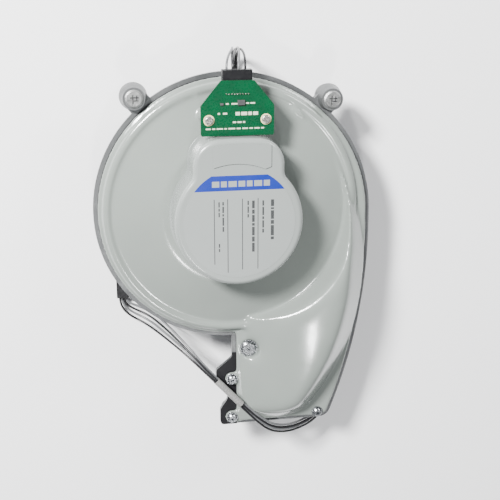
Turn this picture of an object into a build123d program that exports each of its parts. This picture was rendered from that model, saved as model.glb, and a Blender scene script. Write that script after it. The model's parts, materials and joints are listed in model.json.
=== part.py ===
from build123d import *

import os
from math import atan, cos, degrees, hypot, radians, sin, sqrt, tan

# Premix combustion fan of a gas boiler, lying on its inlet collar and outlet gasket, motor up.
# +Z is the motor axis, Z = 0 is the plane that it lies on, and the outlet is towards -Y.
# All sizes are millimetres.

# ---- heights, from the resting plane up ----
BACK_Z = 16.0            # outer face of the volute's back wall
PART_Z = 44.0            # parting face of the lower housing
GASKET_T = 0.8           # housing gasket
FLANGE_T = 3.2           # upper and lower parting flanges
WALL = 3.0               # cast wall
UPPER_Z = PART_Z + GASKET_T
FLANGE_Z = UPPER_Z + FLANGE_T
BORE_GAP = 0.05          # radial clearance of screws, pins and pressed parts
FACE_GAP = 0.02          # clearance between faces that only touch

# ---- housing plan ----
RIM_R = 107.0            # round rim of the lower housing
RIM_STEP = 3.4           # the upper flange is set in from the lower one
SCROLL_START = 60.0      # degrees from +X, where the rim begins to open out
SCROLL_GROWTH = 5.5      # how far the rim has opened out on the +X side
OUTLET_REACH = 81.0      # outlet plate beyond the round rim
PLATE_INSET = 25.0       # outlet plate's lower right corner, in from the rim
PLATE_CORNER_R = 10.0
LAND = 10.0              # flange width round the volute
PLATE_BOTTOM = -(RIM_R + OUTLET_REACH)
PLATE_RIGHT = RIM_R - PLATE_INSET
EAR_OUT = 13.2           # upper ear, out from the plate's left edge
EAR_LOW_OUT = 10.0       # lower ear
EAR_R = 3.0
TONGUE_X = 22.0          # left wall of the outlet passage
TONGUE_GAP = 8.0         # impeller to tongue

# ---- crown: the scroll and outlet bulge of the upper housing ----
CROWN_H = 25.5           # highest rise over the flange
CROWN_X = RIM_R - 21.0   # crest line, along Y
CROWN_Y = 7.0 - RIM_R    # highest place on the crest
CROWN_HALF = 80.0        # half width of the arch where it meets the flange
CROWN_SPINE_R = 1000.0   # the crest line is bent to this radius
CROWN_ROOM = 32.0        # height of the solids that the crown is cut from
FLANK_R = 187.5          # outer flank
FLANK_X = RIM_R + 1.7 - FLANK_R
FLANK_Y = -52.5
FLANK_SLOPE = 1.25
END_R = 86.0             # rounded end over the outlet, and the tighter arc to its left
END_AT = (RIM_R - 92.2, PLATE_BOTTOM + 84.5)
TOE_R = 42.0
TOE_TURN = 33.0          # degrees from -Y, where the two arcs meet
END_LEAN = 12.0          # degrees that the side above the end leans outwards
END_SLOPE = 1.35
INNER_SLOPE = 3.0        # inner flank, beside the motor plate

# ---- motor plate ----
DISC_R = RIM_R - 7.0     # outer edge of the raised bead
BEAD_W = 5.5
BEAD_H = 5.0
DISC_EDGE_R = RIM_R - 18.0
CONE_FOOT_R = RIM_R - 15.0
CONE_FOOT_Z = FLANGE_Z + 3.0
SEAT_R = 56.0            # flat seat of the motor cap
SEAT_Z = FLANGE_Z + 12.0

# ---- outlet and inlet ----
DUCT_W = 54.0
DUCT_L = 60.0
DUCT_CORNER_R = 10.0
DUCT_X = TONGUE_X + DUCT_W / 2
DUCT_Y = PLATE_BOTTOM + 16.0 + DUCT_L / 2
OUTLET_T = 6.0           # outlet flange
OUTLET_LIP = 12.0        # outlet flange beyond the passage
OUTLET_HOLE_R = 2.6
OUTLET_HOLE_IN = 5.5
SEAL_T = 1.5             # outlet gasket
THROAT_R = 35.0
COLLAR_R = 50.0
INLET_PCD = 90.0
INLET_TAP_R = 2.1
INLET_TAP_L = 12.0
INLET_HOLES = 4
RING_SEAL_R = (37.5, 40.5)
RING_SEAL_T = 2.0
NOZZLE_T = 1.8

# ---- fasteners and lugs ----
SMALL_SCREWS = [(-0.7, PLATE_BOTTOM + 43.0), (-0.7, PLATE_BOTTOM + 7.8),
                (PLATE_RIGHT - 9.6, PLATE_BOTTOM + 7.0)]
LARGE_SCREW = (13.2, PLATE_BOTTOM + 70.0)
SCREW_R = 2.4
SCREW_L = 14.0
SMALL_HEAD_R = 4.7
LARGE_HEAD_R = 7.2
HEAD_T = 3.4
BOSS_R = 6.0
LUG_ANGLES = [47.4, 129.4]
LUG_REACH = 8.0          # lug centre beyond the rim
LUG_R = 10.7
LUG_TOP_R = 8.4
LUG_Z = (32.0, 52.0)
PIN_R = 3.6
PIN_HEAD_R = 6.8
PIN_HEAD_T = 1.6

# ---- impeller ----
IMPELLER_R = 74.0
EYE_R = 37.0
BLADES = 18
BLADE_T = 1.4
BLADE_SWEEP = 42.0       # degrees between a blade's root and tip
BLADE_ROOT_R = 39.0
PLATE_Z = FLANGE_Z + 0.6           # underside of the impeller's back plate
PLATE_T = 1.4
SHROUD_Z = BACK_Z + 8.0
SHROUD_RISE = 6.0
SHROUD_T = 1.4
HUB_R = 11.0
HUB_Z = (PLATE_Z - 14.6, PLATE_Z + 4.4)

# ---- motor ----
SHAFT_R = 4.0
SHAFT_Z = (PLATE_Z - 21.6, SEAT_Z + 25.0)
RACE_IN_R = 5.6
RACE_OUT_R = 9.4
BEARING_R = 11.0
BEARING_T = 7.0
BALL_R = 1.85
BALLS = 7
BEARING_Z = [SEAT_Z - 2.0, SEAT_Z + 13.2]
TUBE_R = 14.0
TUBE_Z = (SEAT_Z - 5.0, SEAT_Z + 20.8)
TUBE_FLANGE_R = 20.5
TUBE_FLANGE_T = 3.0
TUBE_SCREW_PCD = 34.6
STATOR_R = 30.0
STATOR_Z = (SEAT_Z + 7.0, SEAT_Z + 17.0)
TEETH = 12
TOOTH_W = 4.4
YOKE_R = 18.6
TIP_R = 27.6
SLOT_MOUTH = 2.0
INSULATOR_T = 0.8
COIL_T = 1.5
MAGNET_R = (31.0, 35.1)
MAGNETS = 8
ROTOR_R = 37.0
ROTOR_Z = (SEAT_Z + 4.4, SEAT_Z + 24.0)
ROTOR_T = 1.8
MOTOR_BOARD_R = (21.5, 43.0)
MOTOR_BOARD_Z = SEAT_Z + 1.4
MOTOR_BOARD_T = 1.6

# ---- motor cap ----
CAP_R = 48.5
CAP_Z = SEAT_Z + 28.0
CAP_T = 2.0
CAP_LOBE_W = 34.0        # half width of the lobe
CAP_LOBE_Y = 63.5
CAP_LOBE_R = 20.0
CAP_BLEND_R = 9.0
CAP_EDGE_R = 3.5
CAP_FOOT = 1.6           # the wall leans out by this much at its foot
TAB_R = CAP_R - CAP_T - 0.9
TAB_W = 7.6
PLATEAU_H = 0.8
LABEL_R = 42.0
LABEL_TOP = 36.5
LABEL_T = 0.15

# ---- connector board ----
BOARD_Y = CAP_LOBE_Y + 0.8
BOARD_H = 40.0
BOARD_SHOULDER = 22.0
BOARD_HALF = 27.0
BOARD_TOP_HALF = 12.3
BOARD_T = 1.6
BOARD_Z = CAP_Z - 10.0
BOARD_SCREWS = [(-21.0, BOARD_Y + 11.6), (21.0, BOARD_Y + 11.6)]
BOARD_SCREW_R = 1.3
BOARD_HEAD_R = 3.2
POST_R = 3.4
HEADER_W = 20.0
HEADER_L = 9.0
PLUG_W = 22.0
PLUG_L = 13.0
PLUG_H = 7.6
PLUG_END_Y = 111.5
LINK_W = 12.0
LINK_T = 0.6

# ---- wiring loom ----
WIRE_R = 0.9
WIRES = 4
SLEEVE_R = 3.0
PALE_SLEEVE_R = 2.9
PALE_SLEEVE_BORE = 2.62
PALE_SLEEVE_L = 31.0
END_PLUG = (10.0, 20.0, 8.0)
END_PLUG_AT = (-86.0, -73.0)
# Each station is the bundle's centre and the gaps between its wires, sideways and upwards.
SIDE = [-1.5, -0.5, 0.5, 1.5]
STACK = [-0.5, 0.5, -0.5, 0.5]
TOP_LOOM = [
    ((0.4, 111.55, 69.8), 4.6, 0.0), ((0.4, 116.2, 69.8), 4.6, 0.0), ((2.4, 121.0, 60.5), 3.8, 0.3),
    ((5.0, 122.6, 46.0), 2.6, 0.7), ((7.0, 122.6, 30.0), 2.0, 1.2), ((8.0, 119.2, 15.5), 1.5, 1.5),
    ((8.8, 111.5, 5.8), 1.1, 1.75), ((9.6, 102.2, 3.4), 0.98, 1.75),
]
HIDDEN_LOOM = [
    (9.6, 101.0, 3.2), (12.5, 90.0, 3.1), (24.0, 80.0, 3.1), (41.0, 71.0, 3.1), (58.0, 57.0, 3.1),
    (71.0, 34.0, 3.1), (79.0, 5.0, 3.1), (86.0, -26.0, 3.1), (91.5, -60.0, 3.1), (94.0, -96.0, 3.1),
    (95.4, -128.0, 3.2), (94.2, -154.0, 5.0), (90.4, -173.0, 9.6), (86.0, -184.0, 15.4),
]
LOW_LOOM = [
    ((85.7, -184.7, 15.8), 0.98, 1.75), ((82.6, -190.8, 20.0), 1.05, 1.75), ((76.0, -195.6, 27.2), 1.4, 1.5),
    ((64.0, -197.2, 35.6), 1.9, 1.0), ((49.0, -197.0, 43.8), 2.2, 0.5), ((34.0, -191.6, 51.6), 2.1, 0.5),
    ((22.5, -182.8, 53.2), 1.5, 1.2), ((12.0, -172.6, 52.4), 0.98, 1.75), ((-19.8, -137.2, 52.4), 0.98, 1.75),
    ((-36.0, -120.8, 42.0), 1.8, 1.2), ((-52.0, -108.6, 24.0), 3.2, 0.8), ((-66.5, -100.4, 8.0), 3.9, 0.4),
    ((-79.0, -95.4, 3.9), 3.4, 0.4), ((-85.4, -89.6, 3.7), 2.1, 0.8), ((-86.0, -83.6, 3.7), 1.7, 1.3),
]

# ---------------------------------------------------------------- helpers
def polar(radius, angle):
    return (radius * cos(radians(angle)), radius * sin(radians(angle)))


def slab(sketch, z, height):
    return Pos(0, 0, z) * extrude(sketch, height, dir=(0, 0, 1))


def ring(outer, inner, z, height):
    return slab(Circle(outer) - Circle(inner), z, height)


def rod(x, y, radius, z, height):
    return slab(Pos(x, y) * Circle(radius), z, height)


def turned(*corners):
    """A solid of revolution about Z from its (radius, height) corners."""
    return revolve(Plane.XZ * make_face(Polyline(*corners, close=True)), Axis.Z)


def around(count, body, start=0.0):
    return [Rot(0, 0, start + 360.0 * i / count) * body for i in range(count)]


def round_edges(body, radius, height, at_radius=None):
    """Fillet the circles at a height, all of them or those of one radius."""
    circles = body.edges().filter_by(GeomType.CIRCLE)
    level = [e for e in circles if abs(e.center().Z - height) < 0.01]
    if at_radius is not None:
        level = [e for e in level if abs(e.radius - at_radius) < 0.01]
    return fillet(level, radius)


def solids_of(bodies):
    return Compound(children=[s for b in bodies for s in b.solids()])


def save(node, *bodies):
    export_step(solids_of(bodies), f"parts/{node}.step")


# ---------------------------------------------------------------- housing outlines
def outline(ears=True):
    """Plan of the parting flange: a round rim opening into the scroll and the outlet plate."""
    rim = CenterArc((0, 0), RIM_R, SCROLL_START, 270 - SCROLL_START)
    side = (RIM_R + SCROLL_GROWTH, -10)
    scroll = ThreePointArc(side, (RIM_R - 4.7, 39.4), polar(RIM_R, SCROLL_START))
    corner = (PLATE_RIGHT, PLATE_BOTTOM)
    flank = ThreePointArc(corner, (RIM_R + 1.7, PLATE_BOTTOM + 103.5), side)
    foot = (TONGUE_X, PLATE_BOTTOM)
    if ears:
        left = FilletPolyline(
            (0, -RIM_R), (0, PLATE_BOTTOM + 61), (-EAR_OUT, PLATE_BOTTOM + 50),
            (-EAR_OUT, PLATE_BOTTOM + 37), (-4, PLATE_BOTTOM + 30), (-4, PLATE_BOTTOM + 23),
            (-EAR_LOW_OUT, PLATE_BOTTOM + 14), (-EAR_LOW_OUT, PLATE_BOTTOM), foot, radius=EAR_R)
    else:
        left = Polyline((0, -RIM_R), (0, PLATE_BOTTOM), foot)
    face = make_face([rim, left, Line(foot, corner), flank, scroll])
    tip = [v for v in face.vertices() if hypot(v.X - corner[0], v.Y - corner[1]) < 0.01]
    return fillet(tip, PLATE_CORNER_R)


def upper_outline():
    """The upper flange is set in from the lower one."""
    return offset(outline(ears=False), -RIM_STEP)


def screw_lobes():
    """Small lobes that carry the upper flange round the two screws on the left."""
    plan = Sketch()
    for x, y in SMALL_SCREWS[:2]:
        plan += Pos(x, y) * Circle(SMALL_HEAD_R + 0.7)
        plan += Pos(x + 3.5, y) * Rectangle(7, 2 * SMALL_HEAD_R + 1.4)
    return plan


def volute_outline():
    """Plan of the volute's inside, cut off to the left of the outlet passage."""
    plan = offset(outline(ears=False), -LAND)
    cut_top = -sqrt((RIM_R - LAND) ** 2 - TONGUE_X ** 2)
    cut = Pos(TONGUE_X - 50, (cut_top + PLATE_BOTTOM) / 2) * Rectangle(100, cut_top - PLATE_BOTTOM)
    return plan - cut + Circle(RIM_R - LAND)


def tongue():
    """Wedge that parts the start of the volute from the outlet."""
    near = IMPELLER_R + TONGUE_GAP
    far = RIM_R - LAND + 1
    points = [polar(near, 281), polar(near + 1, 287), polar(far - 2, 288), polar(far + 1, 283),
              polar(far + 1, 262)]
    return make_face(Polyline(*points, close=True))


def duct(grow=0.0):
    return Pos(DUCT_X, DUCT_Y) * RectangleRounded(
        DUCT_W + 2 * grow, DUCT_L + 2 * grow, DUCT_CORNER_R + grow)


def outlet_holes(radius):
    reach_x = DUCT_W / 2 + OUTLET_LIP - OUTLET_HOLE_IN
    reach_y = DUCT_L / 2 + OUTLET_LIP - OUTLET_HOLE_IN
    spots = Sketch()
    for sx in (-1, 1):
        for sy in (-1, 1):
            spots += Pos(DUCT_X + sx * reach_x, DUCT_Y + sy * reach_y) * Circle(radius)
    return spots


def outlet_plan():
    lip = 2 * OUTLET_LIP
    return Pos(DUCT_X, DUCT_Y) * RectangleRounded(DUCT_W + lip, DUCT_L + lip, 6.0)


# ---------------------------------------------------------------- lower housing
def lug(angle):
    """A tapered lug, standing on a web that ties it to the rim."""
    x, y = polar(RIM_R + LUG_REACH, angle)
    low, high = LUG_Z
    cone = turned((0, low), (LUG_R - 1, low), (LUG_R, low + 6), (LUG_TOP_R, high), (0, high))
    web = Rot(0, 0, angle) * Pos(RIM_R - 2, 0) * Rectangle(2 * LUG_REACH, 1.7 * LUG_R)
    return Pos(x, y, 0) * cone + slab(web, PART_Z - FLANGE_T - 3, FLANGE_T + 3)


def lower_housing():
    cavity = volute_outline()
    body = slab(offset(cavity, WALL), BACK_Z, PART_Z - BACK_Z)
    body += slab(outline(), PART_Z - FLANGE_T, FLANGE_T)
    for angle in LUG_ANGLES:
        body += lug(angle)
    body += rod(0, 0, COLLAR_R, 0, BACK_Z + WALL)
    for i in range(8):
        body += Rot(0, 0, 22.5 + 45 * i) * Pos(COLLAR_R + 13, 0, BACK_Z - 2) * Box(30, 2.5, 5)
    body += slab(duct(WALL), SEAL_T, BACK_Z)
    body += slab(outlet_plan(), SEAL_T, OUTLET_T)
    body -= slab(cavity, BACK_Z + WALL, PART_Z)
    body += slab(tongue(), BACK_Z, PART_Z - BACK_Z)
    for x, y in SMALL_SCREWS + [LARGE_SCREW]:
        body += rod(x, y, BOSS_R, PART_Z - SCREW_L - 4, SCREW_L + 4)
    body -= slab(duct(), -1, BACK_Z + WALL + 2)
    body -= rod(0, 0, THROAT_R, -1, BACK_Z + WALL + 2)
    body -= ring(RING_SEAL_R[1], RING_SEAL_R[0], -1, RING_SEAL_T + 1)
    for x, y in SMALL_SCREWS + [LARGE_SCREW]:
        body -= rod(x, y, SCREW_R + BORE_GAP, PART_Z - SCREW_L - 1, SCREW_L + 2)
    for angle in LUG_ANGLES:
        x, y = polar(RIM_R + LUG_REACH, angle)
        body -= rod(x, y, PIN_R + BORE_GAP, LUG_Z[0] - 1, LUG_Z[1])
    for i in range(INLET_HOLES):
        x, y = polar(INLET_PCD / 2, 45 + 360 * i / INLET_HOLES)
        body -= rod(x, y, INLET_TAP_R, -1, INLET_TAP_L + 1)
    body -= slab(outlet_holes(OUTLET_HOLE_R), 0, OUTLET_T + SEAL_T + 1)
    return body


def housing_gasket():
    """Follows the land, with its corners showing as ears beside the outlet plate."""
    ears = outline() & (Pos(-10, PLATE_BOTTOM + 32) * Rectangle(28, 66))
    plan = offset(outline(ears=False), -RIM_STEP) + ears - volute_outline()
    for x, y in SMALL_SCREWS + [LARGE_SCREW]:
        plan -= Pos(x, y) * Circle(SCREW_R + 0.4)
    return slab(plan, PART_Z, GASKET_T)


# ---------------------------------------------------------------- upper housing
def frustum(radius, slope, low):
    """A cone of this radius at the flange's top face, narrowing upwards when the slope is positive."""
    grow = (FLANGE_Z - low) / slope
    shrink = CROWN_ROOM / slope
    high = FLANGE_Z + CROWN_ROOM
    return turned((0, low), (radius + grow, low), (radius - shrink, high), (0, high))


def crown_arch(skin):
    """An arch across X, swung along a crest line that falls away from its highest place."""
    radius = (CROWN_HALF ** 2 + CROWN_H ** 2) / (2 * CROWN_H) - skin
    crest = FLANGE_Z + CROWN_H - skin
    circle = Plane.XZ * (Pos(0, crest - radius) * Circle(radius))
    window = Plane.XZ * (Pos(0, crest - CROWN_ROOM / 2) * Rectangle(2 * radius, CROWN_ROOM))
    spine = Axis((0, CROWN_Y, FLANGE_Z + CROWN_H - CROWN_SPINE_R), (1, 0, 0))
    swept = revolve(Pos(CROWN_X, CROWN_Y, 0) * (circle & window), spine, -25)
    return swept.rotate(spine, 8)


def end_plan():
    """Plan of the crown's rounded end at the flange, open far up the +Y side."""
    x, y = END_AT
    turn = radians(TOE_TURN)
    toe_x = x + (END_R - TOE_R) * sin(turn)
    toe_y = y - (END_R - TOE_R) * cos(turn)
    meet = (x + END_R * sin(turn), y - END_R * cos(turn))
    left = (toe_x - TOE_R, toe_y)
    low = polar(TOE_R, 240)
    side = (x + END_R * cos(radians(END_LEAN)), y - END_R * sin(radians(END_LEAN)))
    middle = polar(END_R, (TOE_TURN - 90 - END_LEAN) / 2)
    rise = RIM_R + 20 - side[1]
    far = (side[0] + rise * tan(radians(END_LEAN)), RIM_R + 20)
    return make_face([
        Line((left[0], RIM_R + 20), left), ThreePointArc(left, (toe_x + low[0], toe_y + low[1]), meet),
        ThreePointArc(meet, (x + middle[0], y + middle[1]), side), Line(side, far),
        Line(far, (left[0], RIM_R + 20))])


def crown_solid(skin, low):
    """The scroll and outlet bulge with every face set in by a skin, from a height low upwards."""
    flank = Pos(FLANK_X, FLANK_Y, 0) * frustum(FLANK_R - skin, FLANK_SLOPE, low)
    foot = offset(end_plan(), (FLANGE_Z - low) / END_SLOPE - skin)
    height = FLANGE_Z - low + CROWN_ROOM
    end = Pos(0, 0, low) * extrude(foot, height, dir=(0, 0, 1), taper=degrees(atan(1 / END_SLOPE)))
    body = crown_arch(skin) & flank & end
    return body - frustum(DISC_EDGE_R + skin, -INNER_SLOPE, low - 1)


def plate_solid():
    """Shallow cone of the motor plate inside its raised bead."""
    inner = DISC_R - BEAD_W
    body = turned(
        (0, UPPER_Z), (DISC_R, UPPER_Z), (DISC_R, FLANGE_Z + BEAD_H - 1), (DISC_R - 1.4, FLANGE_Z + BEAD_H),
        (inner + 1.6, FLANGE_Z + BEAD_H), (inner, CONE_FOOT_Z), (CONE_FOOT_R, CONE_FOOT_Z),
        (SEAT_R, SEAT_Z), (0, SEAT_Z))
    return round_edges(body, 12.0, SEAT_Z, SEAT_R)


def plate_hollow():
    outer = RIM_R - LAND
    return turned(
        (0, UPPER_Z - 1), (outer, UPPER_Z - 1), (outer, CONE_FOOT_Z - WALL),
        (CONE_FOOT_R, CONE_FOOT_Z - WALL), (SEAT_R, SEAT_Z - WALL), (0, SEAT_Z - WALL))


def upper_housing():
    plan = upper_outline()
    flange = slab(plan, UPPER_Z, FLANGE_T)
    flange = chamfer(flange.edges().group_by(Axis.Z)[-1], 0.8)
    flange += slab(screw_lobes(), UPPER_Z, FLANGE_T)
    room = slab(plan, UPPER_Z, CROWN_H + 20)
    body = flange + (crown_solid(0.0, UPPER_Z) & room) + plate_solid()
    body -= plate_hollow()
    body -= crown_solid(WALL, UPPER_Z - 1) & slab(volute_outline(), UPPER_Z - 1, CROWN_H + 20)
    body -= rod(0, 0, TUBE_R + BORE_GAP, SEAT_Z - 10, 20)
    for i in range(3):
        x, y = polar(TUBE_SCREW_PCD / 2, 90 + 120 * i)
        body -= rod(x, y, 1.3, SEAT_Z - 10, 20)
        body -= Rot(0, 0, 30 + 120 * i) * Pos(TAB_R, 0, SEAT_Z) * Box(3.4, TAB_W + 1, 12)
    for x, y in SMALL_SCREWS + [LARGE_SCREW]:
        body -= rod(x, y, SCREW_R + 0.3, UPPER_Z - 1, 30)
        body -= rod(x, y, BOSS_R + 1.8, FLANGE_Z, 30)
    for x, y in BOARD_SCREWS:
        body += rod(x, y, POST_R + 1.4, SEAT_Z - 7, 5)
    return body


# ---------------------------------------------------------------- fasteners
def screw(x, y, head_r, washer):
    """Pan head with a six-lobed socket on a flanged collar; a plain shank stands in for the thread."""
    low = FLANGE_Z + FACE_GAP
    head = turned((0, low), (head_r, low), (head_r, low + washer), (head_r - 0.9, low + washer),
                  (head_r - 1.1, low + HEAD_T - 0.8), (head_r - 2.0, low + HEAD_T), (0, low + HEAD_T))
    socket = Circle(0.95)
    for lobe in range(6):
        socket += Pos(*polar(0.95, 60 * lobe)) * Circle(0.42)
    head -= slab(socket, low + HEAD_T - 1.8, 3)
    shank = rod(0, 0, SCREW_R, low + 0.5 - SCREW_L - GASKET_T - FLANGE_T, SCREW_L + GASKET_T + FLANGE_T)
    return Pos(x, y, 0) * (head + shank)


def lug_pin(angle):
    """Pin swaged over the lug, with the crossed marks of the swaging punch."""
    high = LUG_Z[1] + FACE_GAP
    body = turned((0, LUG_Z[0] + 2), (PIN_R, LUG_Z[0] + 2), (PIN_R, high), (PIN_HEAD_R, high),
                  (PIN_HEAD_R, high + 0.7), (PIN_HEAD_R - 1.3, high + PIN_HEAD_T), (0, high + PIN_HEAD_T))
    for turn in (20, 80, 140):
        mark = Rot(0, 0, turn) * Box(2 * PIN_HEAD_R - 3.4, 1.1, 1.0)
        body -= Pos(0, 0, high + PIN_HEAD_T) * mark
    x, y = polar(RIM_R + LUG_REACH, angle)
    return Pos(x, y, 0) * body


# ---------------------------------------------------------------- inlet and outlet
def inlet_nozzle():
    """Bell mouth pressed into the throat, reaching into the impeller's eye."""
    outer = THROAT_R - BORE_GAP
    inner = outer - NOZZLE_T
    top = SHROUD_Z + 1.5
    foot = BACK_Z + WALL + FACE_GAP
    body = turned((outer, 1), (outer, foot), (outer + 7, foot), (outer + 7, foot + 1.5),
                  (outer + 0.6, foot + 1.5), (outer - 0.4, top), (inner, top), (inner, 7), (outer - 0.5, 1))
    return body


def inlet_seal():
    return ring(RING_SEAL_R[1] - BORE_GAP, RING_SEAL_R[0] + BORE_GAP, 0.1, RING_SEAL_T - 0.15)


def outlet_gasket():
    return slab(outlet_plan() - duct(0.5) - outlet_holes(OUTLET_HOLE_R + 0.3), 0, SEAL_T - FACE_GAP)


# ---------------------------------------------------------------- impeller
def shroud_top(radius):
    return SHROUD_Z + SHROUD_T + SHROUD_RISE * (radius - EYE_R) / (IMPELLER_R - EYE_R)


def blade():
    """A backward curved blade, standing on the shroud and reaching the back plate."""
    root = polar(BLADE_ROOT_R, 0)
    tip = polar(IMPELLER_R - 1.2, -BLADE_SWEEP)
    middle = polar((BLADE_ROOT_R + IMPELLER_R) / 2 + 1, -BLADE_SWEEP * 0.38)
    path = ThreePointArc(root, middle, tip)
    body = slab(trace(path, BLADE_T), SHROUD_Z - 2, PLATE_Z - SHROUD_Z + 2.5)
    outer = IMPELLER_R + 4
    below = turned((20, 10), (outer, 10), (outer, shroud_top(outer) + FACE_GAP),
                   (20, shroud_top(20) + FACE_GAP))
    return body - below


def impeller_wheel():
    body = ring(IMPELLER_R, SHAFT_R + FACE_GAP, PLATE_Z, PLATE_T)
    low, high = HUB_Z
    body += turned((SHAFT_R + FACE_GAP, low), (HUB_R - 3, low), (HUB_R, PLATE_Z - 4),
                   (HUB_R + 9, PLATE_Z + 0.4), (HUB_R, high), (SHAFT_R + FACE_GAP, high))
    for one in around(BLADES, blade()):
        body += one
    return body


def impeller_shroud():
    low = SHROUD_Z
    rise = low + SHROUD_RISE
    return turned((EYE_R, low - 2.4), (EYE_R + SHROUD_T, low - 2.4), (EYE_R + SHROUD_T, low),
                  (IMPELLER_R, rise), (IMPELLER_R, rise + SHROUD_T), (EYE_R, low + SHROUD_T))


def shaft_nut():
    low = HUB_Z[0]
    body = slab(RegularPolygon(7.2, 6), low - 5, 5 - FACE_GAP)
    return body - rod(0, 0, SHAFT_R + FACE_GAP, low - 10, 12)


# ---------------------------------------------------------------- motor
def shaft():
    low, high = SHAFT_Z
    body = rod(0, 0, SHAFT_R, low, high - low)
    return chamfer(body.edges().filter_by(GeomType.CIRCLE), 0.5)


def races(outer, inner):
    return [ring(outer, inner, z, BEARING_T) for z in BEARING_Z]


def balls():
    middle = (RACE_IN_R + RACE_OUT_R) / 2
    ball = Pos(middle, 0, BEARING_T / 2) * Sphere(BALL_R)
    return [Pos(0, 0, z) * one for z in BEARING_Z for one in around(BALLS, ball)]


def bearing_tube():
    low, high = TUBE_Z
    seat = BEARING_R + FACE_GAP
    shelf = BEARING_Z[0] + BEARING_T + FACE_GAP
    upper = BEARING_Z[1] - 1.0
    foot = SEAT_Z + FACE_GAP
    body = turned((seat, low), (TUBE_R, low), (TUBE_R, foot), (TUBE_FLANGE_R, foot),
                  (TUBE_FLANGE_R, foot + TUBE_FLANGE_T), (TUBE_R, foot + TUBE_FLANGE_T), (TUBE_R, high),
                  (seat, high), (seat, upper), (seat - 1.5, upper), (seat - 1.5, shelf), (seat, shelf))
    for i in range(3):
        x, y = polar(TUBE_SCREW_PCD / 2, 90 + 120 * i)
        body -= rod(x, y, 1.5, foot - 1, TUBE_FLANGE_T + 2)
    return body


def tube_screw(angle):
    foot = SEAT_Z + TUBE_FLANGE_T + 2 * FACE_GAP
    x, y = polar(TUBE_SCREW_PCD / 2, angle)
    body = rod(x, y, 2.3, foot, 1.4) + rod(x, y, 1.2, foot - 6, 6.5)
    return body - slab(Pos(x, y) * RegularPolygon(1.1, 6), foot + 0.6, 2)


def preload_spring():
    """Plain spring washer under the upper bearing."""
    return ring(BEARING_R - 0.4, RACE_OUT_R - 1.0 + 0.4, BEARING_Z[1] - 0.9, 0.8)


def circlip():
    body = ring(SHAFT_R + 1.5, SHAFT_R + FACE_GAP, BEARING_Z[0] - 1.3, 1.1)
    return body - Pos(SHAFT_R + 2, 0, BEARING_Z[0]) * Box(6, 3, 6)


def slinger():
    low = HUB_Z[1] + FACE_GAP
    return turned((SHAFT_R + FACE_GAP, low), (9, low), (9.8, low + 2.2), (9, low + 2.4), (6.5, low + 1.2),
                  (5.5, low + 2.6), (SHAFT_R + FACE_GAP, low + 2.6))


def stator_plan():
    plan = Circle(YOKE_R)
    tips = Circle(STATOR_R) - Circle(TIP_R)
    for i in range(TEETH):
        turn = Rot(0, 0, 360 * i / TEETH)
        plan += turn * Pos((YOKE_R + TIP_R) / 2, 0) * Rectangle(TIP_R - YOKE_R + 3, TOOTH_W)
        tips -= turn * Rot(0, 0, 180 / TEETH) * Pos(STATOR_R - 2, 0) * Rectangle(10, SLOT_MOUTH)
    return plan + tips - Circle(TUBE_R + FACE_GAP)


def stator_core():
    return slab(stator_plan(), STATOR_Z[0], STATOR_Z[1] - STATOR_Z[0])


def insulators():
    low = slab(stator_plan(), STATOR_Z[0] - INSULATOR_T - FACE_GAP, INSULATOR_T)
    high = slab(stator_plan(), STATOR_Z[1] + FACE_GAP, INSULATOR_T)
    return [low, high]


def windings():
    """One coil round each tooth, over both insulators."""
    low = STATOR_Z[0] - INSULATOR_T - 0.1
    high = STATOR_Z[1] + INSULATOR_T + 0.1
    length = TIP_R - YOKE_R - 0.8
    height = high - low
    coil = Box(length, TOOTH_W + 2 * COIL_T + 0.2, height + 2 * COIL_T)
    coil = fillet(coil.edges().filter_by(Axis.X), 1.2)
    coil -= Box(length + 1, TOOTH_W + 0.2, height)
    return around(TEETH, Pos((YOKE_R + TIP_R) / 2, 0, (low + high) / 2) * coil)


def rotor_cup():
    low, high = ROTOR_Z
    bore = SHAFT_R + FACE_GAP
    body = turned((ROTOR_R - ROTOR_T, low), (ROTOR_R, low), (ROTOR_R, high - 1), (ROTOR_R - 1, high),
                  (bore, high), (bore, high - 3), (9, high - 3), (9, high - ROTOR_T),
                  (ROTOR_R - ROTOR_T, high - ROTOR_T))
    vent = Pos(22, 0, high) * Cylinder(4.5, 8)
    for one in around(6, vent):
        body -= one
    return body


def magnets():
    inner, outer = MAGNET_R
    band = ring(outer, inner, STATOR_Z[0] - 1.5, STATOR_Z[1] - STATOR_Z[0] + 3)
    for one in around(MAGNETS, Pos(inner + 2, 0, STATOR_Z[0]) * Box(8, 0.6, 40)):
        band -= one
    return band


def motor_board():
    inner, outer = MOTOR_BOARD_R
    tab = Pos(0, CAP_LOBE_Y - 18) * Rectangle(40, 24)
    plan = Circle(outer) + tab - Circle(inner)
    for i in range(3):
        plan -= Pos(*polar(TAB_R, 30 + 120 * i)) * Circle(6.5)
    return slab(plan, MOTOR_BOARD_Z, MOTOR_BOARD_T)


def board_parts():
    """Capacitors, chips and coil on the motor's control board, in the lobe of the cap."""
    low = MOTOR_BOARD_Z + MOTOR_BOARD_T + FACE_GAP
    made = [rod(x, 51.0, 4.5, low, 14.0) for x in (-13.0, 13.0)]
    made.append(Pos(0, 51.0, low + 2.5) * Box(9, 9, 5))
    made += [Rot(0, 0, a) * Pos(40.0, 0, low + 0.7) * Box(3, 4, 1.4) for a in (0, 60, 170, 185, 200, 290, 330)]
    return made


def board_spacers():
    low = SEAT_Z + FACE_GAP
    return [rod(*polar(32, a), 2.5, low, MOTOR_BOARD_Z - low - FACE_GAP) for a in (0, 120, 240)]


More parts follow.
